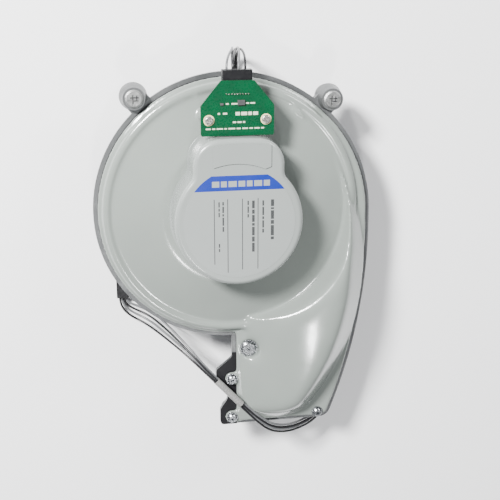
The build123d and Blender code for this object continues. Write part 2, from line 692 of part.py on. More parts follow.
# ---------------------------------------------------------------- motor cap
def cap_plan(inset):
    """Keyhole plan of the cap, set in by a wall."""
    circle = Circle(CAP_R - inset)
    half = CAP_LOBE_W - inset
    high = CAP_LOBE_Y - inset
    crest = 2.0
    lobe = make_face([
        Line((-half, 0), (half, 0)), Line((half, 0), (half, high - crest)),
        ThreePointArc((half, high - crest), (0, high), (-half, high - crest)),
        Line((-half, high - crest), (-half, 0))])
    tips = [v for v in lobe.vertices() if v.Y > 1]
    return circle + fillet(tips, CAP_LOBE_R - inset)


def cap_blend(inset):
    """Plan with the corners between the round part and the lobe filled by arcs."""
    plan = cap_plan(inset)
    reach = CAP_BLEND_R
    return offset(offset(plan, reach), -reach)


def motor_cap():
    low = SEAT_Z + FACE_GAP
    body = slab(cap_blend(0), low, CAP_Z - low)
    body = fillet(body.edges().group_by(Axis.Z)[-1], CAP_EDGE_R)
    body += slab(cap_blend(-CAP_FOOT), low, 2.0)
    body -= slab(cap_blend(CAP_T), low - 1, CAP_Z - low - CAP_T + 1)
    arc = ThreePointArc((-19, 42.5), (0, 45.2), (19, 40.8))
    plateau = make_face([arc, Polyline((19, 40.8), (23.5, 42.5), (23.5, 58.5)),
                         ThreePointArc((23.5, 58.5), (0, 59.8), (-19, 58.5)), Line((-19, 58.5), (-19, 42.5))])
    body += slab(plateau, CAP_Z - 0.5, PLATEAU_H + 0.5)
    for i in range(3):
        tab = Pos(TAB_R, 0, SEAT_Z + 2) * Box(2.4, TAB_W, 14)
        tab += Pos(TAB_R + 0.3, 0, SEAT_Z - 4.4) * Box(2.6, TAB_W, 1.2)
        body += Rot(0, 0, 30 + 120 * i) * tab
    body -= Pos(0, CAP_LOBE_Y, SEAT_Z + 6) * Box(LINK_W + 2, 12, 3)
    return body


def rating_label():
    plan = Circle(LABEL_R) - Pos(0, LABEL_TOP + 20) * Rectangle(2 * LABEL_R, 40)
    return slab(plan, CAP_Z + FACE_GAP, LABEL_T)


# ---------------------------------------------------------------- connector board
def connector_board():
    high = BOARD_Y + BOARD_H
    shoulder = BOARD_Y + BOARD_SHOULDER
    plan = make_face(Polyline(
        (-BOARD_HALF, BOARD_Y), (BOARD_HALF, BOARD_Y), (BOARD_HALF, shoulder), (BOARD_TOP_HALF, high),
        (-BOARD_TOP_HALF, high), (-BOARD_HALF, shoulder), close=True))
    plan = fillet(plan.vertices(), 1.4)
    for x, y in BOARD_SCREWS:
        plan -= Pos(x, y) * Circle(BOARD_SCREW_R + 0.3)
    return slab(plan, BOARD_Z, BOARD_T)


def board_posts():
    """Plain posts with a screw hole, each on its pad on the motor plate."""
    low = SEAT_Z - 2 + FACE_GAP
    made = []
    for x, y in BOARD_SCREWS:
        post = rod(x, y, POST_R, low, BOARD_Z - low - FACE_GAP)
        made.append(post - rod(x, y, BOARD_SCREW_R + BORE_GAP, BOARD_Z - 9, 10))
    return made


def board_screw(x, y):
    low = BOARD_Z + BOARD_T + FACE_GAP
    body = rod(x, y, BOARD_HEAD_R, low, 1.9)
    body = fillet(body.edges().group_by(Axis.Z)[-1], 0.9) + rod(x, y, BOARD_SCREW_R, low - 8, 8.4)
    for turn in (0, 90):
        body -= Pos(x, y, low + 1.9) * Rot(0, 0, turn + 25) * Box(3.6, 0.8, 1.8)
    return body


def board_header():
    """Pin header under the board's upper edge; its front face meets the cable plug."""
    back = PLUG_END_Y - PLUG_L - HEADER_L
    top = BOARD_Z - FACE_GAP
    body = Pos(0, back + HEADER_L / 2, top - PLUG_H / 2) * Box(HEADER_W, HEADER_L, PLUG_H)
    return fillet(body.edges().filter_by(Axis.Z), 0.6)


def cable_plug():
    """Plug with a latch rib on top and one mouth for each wire."""
    top = BOARD_Z - 2 * FACE_GAP - 0.4
    front = PLUG_END_Y - PLUG_L + FACE_GAP
    body = Pos(0.4, (front + PLUG_END_Y) / 2, top - PLUG_H / 2) * Box(PLUG_W, PLUG_END_Y - front, PLUG_H)
    body = fillet(body.edges().filter_by(Axis.Y), 0.8)
    return body


def ribbon_link():
    """Flat link from the motor board, out through the cap's lobe and up to the connector board."""
    low = MOTOR_BOARD_Z + MOTOR_BOARD_T + FACE_GAP
    slot = SEAT_Z + 6
    start = CAP_LOBE_Y - 6.6
    path = FilletPolyline((start, low), (start, slot), (CAP_LOBE_Y + 6, slot), (CAP_LOBE_Y + 6, BOARD_Z - 0.1),
                          radius=1.2)
    strip = Plane.YZ * trace(path, LINK_T)
    return extrude(strip, LINK_W / 2, both=True)


# ---------------------------------------------------------------- wiring loom
def corner_radii(points):
    """For each corner, 0.45 of the shorter run over the tangent of half the turn."""
    spots = [Vector(*p) for p in points]
    radii = []
    for a, b, c in zip(spots, spots[1:], spots[2:]):
        half_turn = (b - a).get_angle(c - b) / 2
        radii.append(0.45 * min((b - a).length, (c - b).length) / tan(radians(half_turn)))
    return radii


def tube(name, points, radius):
    """A round tube along straight runs joined by tangent arcs."""
    radii = corner_radii(points)
    path = FilletPolyline(*points, radius=radii)
    body = sweep(Plane(origin=path @ 0, z_dir=path % 0) * Circle(radius), path=path)
    share = body.volume / (Circle(radius).area * path.length)
    print(f"{name}: length {path.length:.1f}, least radius {min(radii):.1f}, volume share {share:.3f}")
    return body


def strand(stations, i, side=None):
    """Route of one wire of a bundle; the gaps lie across the route, sideways unless a side is given."""
    middles = [Vector(*station[0]) for station in stations]
    route = []
    for k, (_, side_gap, stack_gap) in enumerate(stations):
        along = (middles[min(k + 1, len(middles) - 1)] - middles[max(k - 1, 0)]).normalized()
        across = side or Vector(-along.Y, along.X, 0).normalized()
        above = along.cross(across).normalized()
        spot = middles[k] + across * (SIDE[i] * side_gap) + above * (STACK[i] * stack_gap)
        route.append((spot.X, spot.Y, spot.Z))
    return route


def pale_sleeve():
    """Short tube that gathers the wires where they leave the outlet plate."""
    ends = [Vector(*station[0]) for station in LOW_LOOM[7:9]]
    run = ends[1] - ends[0]
    start = ends[0] + run * (0.5 - PALE_SLEEVE_L / 2 / run.length)
    plane = Plane(origin=start, z_dir=run)
    return extrude(plane * (Circle(PALE_SLEEVE_R) - Circle(PALE_SLEEVE_BORE)), PALE_SLEEVE_L)


def end_plug():
    """Cable connector at the far end, with a latch step on its top."""
    width, length, height = END_PLUG
    x, y = END_PLUG_AT
    body = Pos(x, y, height / 2) * Box(width, length, height)
    body = fillet(body.edges().filter_by(Axis.Y), 1.0)
    body -= Pos(x, y + length / 2 - 3, height) * Box(width - 3, 8, 2.4)
    return body - Pos(x, y + length / 2, height / 2 - 0.5) * Box(width - 3, 12, height - 4)


# ---------------------------------------------------------------- build
def build_housing():
    save("lower_housing", lower_housing())
    save("housing_gasket", housing_gasket())
    save("upper_housing", upper_housing())
    save("outlet_screws", *[screw(x, y, SMALL_HEAD_R, 0.9) for x, y in SMALL_SCREWS])
    save("earth_screw", screw(*LARGE_SCREW, LARGE_HEAD_R, 1.4))
    save("lug_pins", *[lug_pin(a) for a in LUG_ANGLES])
    save("inlet_nozzle", inlet_nozzle())
    save("inlet_seal", inlet_seal())
    save("outlet_gasket", outlet_gasket())


def build_rotor():
    save("impeller_wheel", impeller_wheel())
    save("impeller_shroud", impeller_shroud())
    save("shaft_nut", shaft_nut())
    save("shaft_slinger", slinger())
    save("motor_shaft", shaft())
    save("bearing_inner_races", *races(RACE_IN_R, SHAFT_R + FACE_GAP))
    save("shaft_circlip", circlip())
    save("rotor_cup", rotor_cup())
    save("rotor_magnets", magnets())


def build_motor():
    save("bearing_outer_races", *races(BEARING_R, RACE_OUT_R))
    save("bearing_balls", *balls())
    save("bearing_tube", bearing_tube())
    save("bearing_tube_screws", *[tube_screw(90 + 120 * i) for i in range(3)])
    save("preload_spring", preload_spring())
    save("stator_core", stator_core())
    save("stator_insulators", *insulators())
    save("stator_windings", *windings())
    save("motor_board", motor_board())
    save("motor_board_parts", *board_parts())
    save("motor_board_spacers", *board_spacers())
    save("motor_cap", motor_cap())
    save("rating_label", rating_label())


def build_wiring():
    save("connector_board", connector_board())
    save("board_posts", *board_posts())
    save("board_screws", *[board_screw(x, y) for x, y in BOARD_SCREWS])
    save("board_header", board_header())
    save("cable_plug", cable_plug())
    save("ribbon_link", ribbon_link())
    for i in range(WIRES):
        save(f"top_wire_{i + 1}", tube(f"top_wire_{i + 1}", strand(TOP_LOOM, i, Vector(1, 0, 0)), WIRE_R))
        save(f"low_wire_{i + 1}", tube(f"low_wire_{i + 1}", strand(LOW_LOOM, i), WIRE_R))
    save("loom_sleeve", tube("loom_sleeve", HIDDEN_LOOM, SLEEVE_R))
    save("pale_sleeve", pale_sleeve())
    save("end_plug", end_plug())


os.makedirs("parts", exist_ok=True)
build_housing()
build_rotor()
build_motor()
build_wiring()
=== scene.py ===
"""Looks of a combustion fan for a gas boiler.

It is a scroll housing with a capped motor, a small connector board and a wiring loom.

Everything is in metres in the part's own frame. The motor axis is +Z, the inlet collar stands on the plane z = 0 and
the outlet is towards -Y. Pieces with the right shape keep their CAD node and get a finish. The upper shell is a
softened skin and the wires are smooth curves.
"""

from __future__ import annotations

import json
import logging
from dataclasses import dataclass, field
from enum import Enum

import bpy
from mathutils import Matrix, Vector

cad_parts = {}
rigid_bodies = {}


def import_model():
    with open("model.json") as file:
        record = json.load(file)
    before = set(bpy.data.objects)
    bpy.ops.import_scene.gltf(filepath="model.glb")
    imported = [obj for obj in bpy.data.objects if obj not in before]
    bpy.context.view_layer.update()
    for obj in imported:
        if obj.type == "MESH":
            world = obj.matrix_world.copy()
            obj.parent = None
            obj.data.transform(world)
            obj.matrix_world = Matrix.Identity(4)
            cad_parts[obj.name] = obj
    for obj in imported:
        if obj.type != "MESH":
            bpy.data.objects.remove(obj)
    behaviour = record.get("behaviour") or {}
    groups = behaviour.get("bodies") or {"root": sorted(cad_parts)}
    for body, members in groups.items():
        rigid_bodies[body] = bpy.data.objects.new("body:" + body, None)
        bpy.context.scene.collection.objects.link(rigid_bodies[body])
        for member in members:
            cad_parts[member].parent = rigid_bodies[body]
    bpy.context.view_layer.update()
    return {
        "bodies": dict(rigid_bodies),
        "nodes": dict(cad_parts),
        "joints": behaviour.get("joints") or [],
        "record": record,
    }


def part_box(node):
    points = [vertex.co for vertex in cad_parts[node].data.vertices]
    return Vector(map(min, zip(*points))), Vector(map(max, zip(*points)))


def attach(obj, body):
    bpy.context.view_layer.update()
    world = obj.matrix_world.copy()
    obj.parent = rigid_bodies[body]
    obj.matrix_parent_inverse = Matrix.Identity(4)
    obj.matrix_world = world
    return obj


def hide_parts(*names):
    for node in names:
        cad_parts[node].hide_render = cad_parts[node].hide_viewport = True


LOG = logging.getLogger("combustion_fan")
MM = 0.001
HOUSING = "housing"
COAT_ROUGHNESS = 0.12
RELIEF_DEPTH = 0.4 * MM
GRIT_SCALE = 2400.0
INK_GRAIN_SCALE = 2200.0

Colour = tuple[float, float, float]
Point = tuple[float, float, float]


# ---------------------------------------------------------------------------------------------------------------------
# Small tools
# ---------------------------------------------------------------------------------------------------------------------


def deselect_all() -> None:
    """Leaves object mode with nothing selected."""
    if bpy.context.object is not None and bpy.context.object.mode != "OBJECT":
        bpy.ops.object.mode_set(mode="OBJECT")
    bpy.ops.object.select_all(action="DESELECT")


def make_active(piece: bpy.types.Object) -> None:
    """Selects one object alone and makes it active.

    Args:
        piece: The object to work on.
    """
    deselect_all()
    piece.select_set(True)
    bpy.context.view_layer.objects.active = piece


def name_piece(piece: bpy.types.Object, name: str) -> bpy.types.Object:
    """Names an object and its data alike.

    Args:
        piece: The object to name.
        name: The piece's name.

    Returns:
        The same object.
    """
    piece.name = name
    piece.data.name = name
    return piece


def apply_place(piece: bpy.types.Object) -> None:
    """Moves an object's place, turn and scale into its mesh."""
    make_active(piece)
    bpy.ops.object.transform_apply(location=True, rotation=True, scale=True)


def apply_modifiers(piece: bpy.types.Object) -> None:
    """Applies every modifier of a piece, first to last."""
    make_active(piece)
    for modifier in list(piece.modifiers):
        bpy.ops.object.modifier_apply(modifier=modifier.name)


def join_pieces(pieces: list[bpy.types.Object], name: str) -> bpy.types.Object:
    """Joins several meshes into one piece.

    Args:
        pieces: The meshes, with their places applied.
        name: The joined piece's name.

    Returns:
        The joined object.
    """
    deselect_all()
    for piece in pieces:
        piece.select_set(True)
    bpy.context.view_layer.objects.active = pieces[0]
    if len(pieces) > 1:
        bpy.ops.object.join()
    return name_piece(bpy.context.object, name)


def dress(piece: bpy.types.Object, material: bpy.types.Material) -> None:
    """Gives a piece one material in place of any it has."""
    piece.data.materials.clear()
    piece.data.materials.append(material)


# ---------------------------------------------------------------------------------------------------------------------
# Shader node groups
# ---------------------------------------------------------------------------------------------------------------------


class NodeCanvas:
    """A node tree with short ways to add and join nodes."""

    def __init__(self, tree: bpy.types.NodeTree) -> None:
        """Keeps the tree that nodes are added to."""
        self.tree = tree

    def add(self, kind: str, **values: object) -> bpy.types.Node:
        """Adds a node and sets its own properties.

        Args:
            kind: The node's type name.
            **values: Properties of the node.

        Returns:
            The new node.
        """
        node = self.tree.nodes.new(kind)
        for key, value in values.items():
            setattr(node, key, value)
        return node

    def feed(self, node: bpy.types.Node, socket: str | int, source: object) -> None:
        """Sets an input socket to a number or colour, or links it to an output socket."""
        target = node.inputs[socket]
        if isinstance(source, bpy.types.NodeSocket):
            self.tree.links.new(source, target)
        else:
            target.default_value = source

    def math(self, operation: str, first: object, second: object = 0.0) -> bpy.types.NodeSocket:
        """Adds a Math node on two numbers or sockets.

        Args:
            operation: The Math node's operation.
            first: Its first number or socket.
            second: Its second number or socket.

        Returns:
            The result's socket.
        """
        node = self.add("ShaderNodeMath", operation=operation)
        self.feed(node, 0, first)
        self.feed(node, 1, second)
        return node.outputs[0]

    def noise(self, vector: bpy.types.NodeSocket, scale: object, detail: float = 4.0) -> bpy.types.NodeSocket:
        """Adds a Noise texture and returns its factor."""
        node = self.add("ShaderNodeTexNoise")
        self.feed(node, "Vector", vector)
        self.feed(node, "Scale", scale)
        self.feed(node, "Detail", detail)
        return node.outputs["Fac"]

    def blend(self, factor: object, first: object, second: object) -> bpy.types.NodeSocket:
        """Adds a colour mix and returns its result."""
        node = self.add("ShaderNodeMix", data_type="RGBA")
        self.feed(node, 0, factor)
        self.feed(node, 6, first)
        self.feed(node, 7, second)
        return node.outputs[2]

    def spread(self, value: object, low: object, high: object) -> bpy.types.NodeSocket:
        """Maps 0.3 to 0.7 of a noise onto a range of values."""
        node = self.add("ShaderNodeMapRange")
        self.feed(node, "Value", value)
        self.feed(node, "From Min", 0.3)
        self.feed(node, "From Max", 0.7)
        self.feed(node, "To Min", low)
        self.feed(node, "To Max", high)
        return node.outputs["Result"]


class Effect(Enum):
    """The shared surface effects."""

    HANDLED = "handled_surface"
    CAST = "cast_grain"
    BLOCK = "printed_block"
    RING = "printed_ring"


def new_group(
    effect: Effect, inputs: dict[str, tuple[str, object]], outputs: dict[str, str]
) -> tuple[NodeCanvas, bpy.types.Node, bpy.types.Node]:
    """Starts a shader node group with named sockets.

    Args:
        effect: Which effect the group is.
        inputs: Socket name to its type and default.
        outputs: Socket name to its type.

    Returns:
        The group's canvas, its input node and its output node.
    """
    tree = bpy.data.node_groups.new(effect.value, "ShaderNodeTree")
    for name, (kind, default) in inputs.items():
        socket = tree.interface.new_socket(name=name, in_out="INPUT", socket_type=kind)
        socket.default_value = default
    for name, kind in outputs.items():
        tree.interface.new_socket(name=name, in_out="OUTPUT", socket_type=kind)
    canvas = NodeCanvas(tree)
    return canvas, canvas.add("NodeGroupInput"), canvas.add("NodeGroupOutput")


FLOAT = "NodeSocketFloat"
COLOUR = "NodeSocketColor"
VECTOR = "NodeSocketVector"


def build_handled_surface() -> None:
    """Makes the group for a surface with soft tone changes, faint smudges and a fine grain."""
    canvas, given, made = new_group(
        Effect.HANDLED,
        {
            "Vector": (VECTOR, (0.0, 0.0, 0.0)),
            "Base": (COLOUR, (0.5, 0.5, 0.5, 1.0)),
            "Worn": (COLOUR, (0.4, 0.4, 0.4, 1.0)),
            "Scale": (FLOAT, 20.0),
            "Grain": (FLOAT, 900.0),
            "Smooth": (FLOAT, 0.3),
            "Rough": (FLOAT, 0.5),
        },
        {"Color": COLOUR, "Roughness": FLOAT, "Height": FLOAT},
    )
    broad = canvas.noise(given.outputs["Vector"], given.outputs["Scale"], 3.0)
    fine = canvas.noise(given.outputs["Vector"], given.outputs["Grain"], 2.0)
    smudge = canvas.noise(given.outputs["Vector"], canvas.math("MULTIPLY", given.outputs["Scale"], 5.0), 5.0)
    tone = canvas.spread(broad, 0.0, 1.0)
    speck = canvas.spread(smudge, 0.0, 0.35)
    amount = canvas.math("MULTIPLY", canvas.math("ADD", tone, speck), 0.72)
    canvas.feed(made, "Color", canvas.blend(amount, given.outputs["Base"], given.outputs["Worn"]))
    canvas.feed(made, "Roughness", canvas.spread(smudge, given.outputs["Smooth"], given.outputs["Rough"]))
    canvas.feed(made, "Height", canvas.math("ADD", canvas.math("MULTIPLY", broad, 0.4), fine))


def build_cast_grain() -> None:
    """Makes the group for the skin of a pressure casting: shallow pits, flow marks and fine grit."""
    canvas, given, made = new_group(
        Effect.CAST,
        {"Vector": (VECTOR, (0.0, 0.0, 0.0)), "Pits": (FLOAT, 350.0), "Flow": (FLOAT, 30.0)},
        {"Mask": FLOAT, "Height": FLOAT},
    )
    cells = canvas.add("ShaderNodeTexVoronoi")
    canvas.feed(cells, "Vector", given.outputs["Vector"])
    canvas.feed(cells, "Scale", given.outputs["Pits"])
    pits = canvas.math("MINIMUM", cells.outputs["Distance"], 0.35)
    flow = canvas.noise(given.outputs["Vector"], given.outputs["Flow"], 6.0)
    grit = canvas.noise(given.outputs["Vector"], GRIT_SCALE, 2.0)
    canvas.feed(made, "Mask", canvas.spread(flow, 0.0, 1.0))
    canvas.feed(made, "Height", canvas.math("ADD", canvas.math("ADD", pits, grit), flow))


def build_printed_block() -> None:
    """Makes the group for one printed block: a mask that is 1 inside a rectangle seen from above."""
    canvas, given, made = new_group(
        Effect.BLOCK,
        {
            "Vector": (VECTOR, (0.0, 0.0, 0.0)),
            "Centre": (VECTOR, (0.0, 0.0, 0.0)),
            "Half width": (FLOAT, 0.001),
            "Half height": (FLOAT, 0.001),
        },
        {"Mask": FLOAT},
    )
    shifted = canvas.add("ShaderNodeVectorMath", operation="SUBTRACT")
    canvas.feed(shifted, 0, given.outputs["Vector"])
    canvas.feed(shifted, 1, given.outputs["Centre"])
    split = canvas.add("ShaderNodeSeparateXYZ")
    canvas.feed(split, 0, shifted.outputs[0])
    across = canvas.math("LESS_THAN", canvas.math("ABSOLUTE", split.outputs[0]), given.outputs["Half width"])
    along = canvas.math("LESS_THAN", canvas.math("ABSOLUTE", split.outputs[1]), given.outputs["Half height"])
    canvas.feed(made, "Mask", canvas.math("MULTIPLY", across, along))


def build_printed_ring() -> None:
    """Makes the group for one printed ring: a mask that is 1 between two radii seen from above."""
    canvas, given, made = new_group(
        Effect.RING,
        {
            "Vector": (VECTOR, (0.0, 0.0, 0.0)),
            "Centre": (VECTOR, (0.0, 0.0, 0.0)),
            "Inner": (FLOAT, 0.001),
            "Outer": (FLOAT, 0.002),
        },
        {"Mask": FLOAT},
    )
    shifted = canvas.add("ShaderNodeVectorMath", operation="SUBTRACT")
    canvas.feed(shifted, 0, given.outputs["Vector"])
    canvas.feed(shifted, 1, given.outputs["Centre"])
    flat = canvas.add("ShaderNodeVectorMath", operation="MULTIPLY")
    canvas.feed(flat, 0, shifted.outputs[0])
    canvas.feed(flat, 1, (1.0, 1.0, 0.0))
    reach = canvas.add("ShaderNodeVectorMath", operation="LENGTH")
    canvas.feed(reach, 0, flat.outputs[0])
    outside = canvas.math("GREATER_THAN", reach.outputs["Value"], given.outputs["Inner"])
    inside = canvas.math("LESS_THAN", reach.outputs["Value"], given.outputs["Outer"])
    canvas.feed(made, "Mask", canvas.math("MULTIPLY", outside, inside))


def build_groups() -> None:
    """Makes every shared effect once."""
    build_handled_surface()
    build_cast_grain()
    build_printed_block()
    build_printed_ring()


# ---------------------------------------------------------------------------------------------------------------------
# Finishes
# ---------------------------------------------------------------------------------------------------------------------


@dataclass(frozen=True)
class Finish:
    """One finish: two tones that drift into each other, a gloss range and a grain."""

    name: str
    base: Colour
    worn: Colour
    smooth: float = 0.35
    rough: float = 0.5
    metallic: float = 0.0
    scale: float = 25.0
    grain: float = 1200.0
    bump: float = 0.05
    coat: float = 0.0
    cast: float = 0.0
    passing: float = 0.0
    gleam: float = 0.5

    def start(self) -> tuple[NodeCanvas, bpy.types.Node, bpy.types.Node, bpy.types.NodeSocket, bpy.types.Material]:
        """Makes the material with its shader, its place on the surface and the handled-surface effect.

        Returns:
            The canvas, the shader, the effect's node, the Object coordinates and the material.
        """
        material = bpy.data.materials.new(self.name)
        material.use_nodes = True
        canvas = NodeCanvas(material.node_tree)
        shader = material.node_tree.nodes["Principled BSDF"]
        place = canvas.add("ShaderNodeTexCoord").outputs["Object"]
        surface = canvas.add("ShaderNodeGroup", node_tree=bpy.data.node_groups[Effect.HANDLED.value])
        canvas.feed(surface, "Vector", place)
        canvas.feed(surface, "Base", (*self.base, 1.0))
        canvas.feed(surface, "Worn", (*self.worn, 1.0))
        canvas.feed(surface, "Scale", self.scale)
        canvas.feed(surface, "Grain", self.grain)
        canvas.feed(surface, "Smooth", self.smooth)
        canvas.feed(surface, "Rough", self.rough)
        shader.inputs["Metallic"].default_value = self.metallic
        shader.inputs["Coat Weight"].default_value = self.coat
        shader.inputs["Coat Roughness"].default_value = COAT_ROUGHNESS
        shader.inputs["Transmission Weight"].default_value = self.passing
        shader.inputs["Specular IOR Level"].default_value = self.gleam
        material.diffuse_color = (*self.base, 1.0)
        return canvas, shader, surface, place, material

    def paint(self, canvas: NodeCanvas, surface: bpy.types.Node, place: bpy.types.NodeSocket) -> bpy.types.NodeSocket:
        """Returns the colour that the shader gets. A printed finish adds its marks here."""
        return surface.outputs["Color"]

    def material(self) -> bpy.types.Material:
        """Builds the finish.

        Returns:
            The material.
        """
        canvas, shader, surface, place, material = self.start()
        height = surface.outputs["Height"]
        if self.cast > 0.0:
            grain = canvas.add("ShaderNodeGroup", node_tree=bpy.data.node_groups[Effect.CAST.value])
            canvas.feed(grain, "Vector", place)
            height = canvas.math("ADD", height, canvas.math("MULTIPLY", grain.outputs["Height"], self.cast))
        relief = canvas.add("ShaderNodeBump")
        relief.inputs["Strength"].default_value = self.bump
        relief.inputs["Distance"].default_value = RELIEF_DEPTH
        canvas.feed(relief, "Height", height)
        canvas.feed(shader, "Base Color", self.paint(canvas, surface, place))
        canvas.feed(shader, "Roughness", surface.outputs["Roughness"])
        canvas.feed(shader, "Normal", relief.outputs["Normal"])
        return material


@dataclass(frozen=True)
class Mark:
    """A printed rectangle: its centre and half sizes, seen from above."""

    x: float
    y: float
    half_width: float
    half_height: float


@dataclass(frozen=True)
class PrintedFinish(Finish):
    """A finish with inks: rectangles and rings in up to two colours. On the lug pins the dark rectangles are painted
    shade of the swage grooves.
    """

    marks: tuple[Mark, ...] = ()
    ink: Colour = (0.05, 0.05, 0.05)
    blocks: tuple[Mark, ...] = ()
    block_ink: Colour = (0.01, 0.09, 0.42)
    reserved: tuple[Mark, ...] = ()
    rings: tuple[tuple[float, float, float, float], ...] = ()
    ring_ink: Colour = (0.8, 0.62, 0.3)

    def _mask(self, canvas: NodeCanvas, place: bpy.types.NodeSocket, marks: tuple[Mark, ...]) -> object:
        """Returns one mask over all the rectangles, or 0.0 for none."""
        total: object = 0.0
        for mark in marks:
            block = canvas.add("ShaderNodeGroup", node_tree=bpy.data.node_groups[Effect.BLOCK.value])
            canvas.feed(block, "Vector", place)
            canvas.feed(block, "Centre", (mark.x, mark.y, 0.0))
            canvas.feed(block, "Half width", mark.half_width)
            canvas.feed(block, "Half height", mark.half_height)
            total = canvas.math("MAXIMUM", total, block.outputs["Mask"])
        return total

    def paint(self, canvas: NodeCanvas, surface: bpy.types.Node, place: bpy.types.NodeSocket) -> bpy.types.NodeSocket:
        """Lays the inks on the plain surface.

        Args:
            canvas: The material's canvas.
            surface: The handled-surface effect.
            place: The Object coordinates.

        Returns:
            The printed colour.
        """
        colour = surface.outputs["Color"]
        if self.blocks:
            solid = self._mask(canvas, place, self.blocks)
            spared = self._mask(canvas, place, self.reserved)
            solid = canvas.math("SUBTRACT", solid, spared)
            colour = canvas.blend(solid, colour, (*self.block_ink, 1.0))
        for x, y, inner, outer in self.rings:
            ring = canvas.add("ShaderNodeGroup", node_tree=bpy.data.node_groups[Effect.RING.value])
            canvas.feed(ring, "Vector", place)
            canvas.feed(ring, "Centre", (x, y, 0.0))
            canvas.feed(ring, "Inner", inner)
            canvas.feed(ring, "Outer", outer)
            colour = canvas.blend(ring.outputs["Mask"], colour, (*self.ring_ink, 1.0))
        uneven = canvas.spread(canvas.noise(place, INK_GRAIN_SCALE, 2.0), 0.75, 1.0)
        inked = canvas.math("MULTIPLY", self._mask(canvas, place, self.marks), uneven)
        return canvas.blend(inked, colour, (*self.ink, 1.0))


def mm_mark(x: float, y: float, width: float, height: float) -> Mark:
    """Returns a mark given in millimetres: its centre, width and height."""
    return Mark(x * MM, y * MM, width * MM / 2, height * MM / 2)


def dashes(x: float, y: float, lengths: tuple[float, ...], gap: float, thick: float, upright: bool) -> tuple[Mark, ...]:
    """Lays abstract dashes one after another, as a line of small print reads from afar.

    Args:
        x: Where the line starts, in millimetres.
        y: Where the line starts, in millimetres.
        lengths: The dashes' lengths in order.
        gap: The space between two dashes.
        thick: The dashes' thickness.
        upright: Whether the line runs down instead of to the right.

    Returns:
        The dashes.
    """
    made: list[Mark] = []
    for length in lengths:
        if upright:
            made.append(mm_mark(x, y - length / 2, thick, length))
            y -= length + gap
        else:
            made.append(mm_mark(x + length / 2, y, length, thick))
            x += length + gap
    return tuple(made)


LABEL_LINES = tuple(
    mm_mark(x, y, 0.6, height)
    for x, y, height in ((-19.0, -6.0, 50.0), (-9.0, -9.5, 57.0), (2.0, -8.5, 55.0), (13.7, -8.5, 55.0))
)
LABEL_PRINT = (
    dashes(24.6, 17.5, (5.2, 1.4, 6.6, 3.0, 8.0, 2.2), 0.9, 2.4, True)
    + dashes(17.6, 17.0, (4.0, 6.4, 2.2, 5.6, 3.0), 0.9, 1.3, True)
    + dashes(10.2, 17.2, (6.0, 3.2, 5.4, 2.0, 6.6, 4.0, 7.0), 0.9, 2.0, True)
    + dashes(6.3, 17.2, (3.4, 5.0, 2.6), 0.9, 1.1, True)
    + dashes(-12.4, 17.0, (2.6, 4.8, 1.8, 6.2, 3.8), 0.9, 1.2, True)
    + dashes(-15.4, 17.0, (4.0, 2.2, 3.4), 0.9, 1.0, True)
    + dashes(-15.4, -15.0, (3.0, 2.4), 0.9, 1.0, True)
)
BAND = (mm_mark(0.0, 32.4, 90.0, 14.4),)
BAND_SPARED = dashes(-20.5, 30.3, (5.4, 4.4, 6.2, 5.0, 4.2, 6.0, 4.6), 1.2, 4.4, False)
SILK_PRINT = (
    dashes(-23.4, 69.6, (3.6, 2.2, 4.6, 1.8, 5.0, 3.0, 4.2, 2.6, 3.8, 2.2), 1.1, 1.0, False)
    + dashes(-14.5, 80.6, (1.6, 3.0), 2.2, 1.3, False)
    + dashes(-1.5, 80.4, (3.2, 4.4, 2.6, 3.6), 0.9, 2.4, False)
    + dashes(-3.5, 74.2, (2.4, 3.0, 1.6), 1.0, 1.2, False)
    + dashes(-8.5, 87.6, (2.0, 4.6), 2.0, 1.0, False)
    + dashes(6.0, 87.9, (2.4, 3.4), 1.0, 1.0, False)
)
# The swaged pins of the two lugs, in millimetres, as in the CAD node lug_pins. The dark crosses on them are painted
# shade of recessed swage grooves.
PIN_CENTRES = ((77.84, 84.65), (-72.99, 88.86))
PUNCH_GROOVE_SHADE = tuple(
    mm_mark(x + across, y + along, width, height)
    for x, y in PIN_CENTRES
    for across, along, width, height in (
        (0.3, 0.9, 6.4, 0.9), (-0.8, -0.2, 0.9, 6.8), (1.6, -1.4, 3.6, 0.8), (2.0, 0.4, 0.8, 4.6)
    )
)
BOARD_SCREWS = ((-0.021, 0.0759), (0.021, 0.0759))
SCREW_PAD = (0.0030, 0.0040)

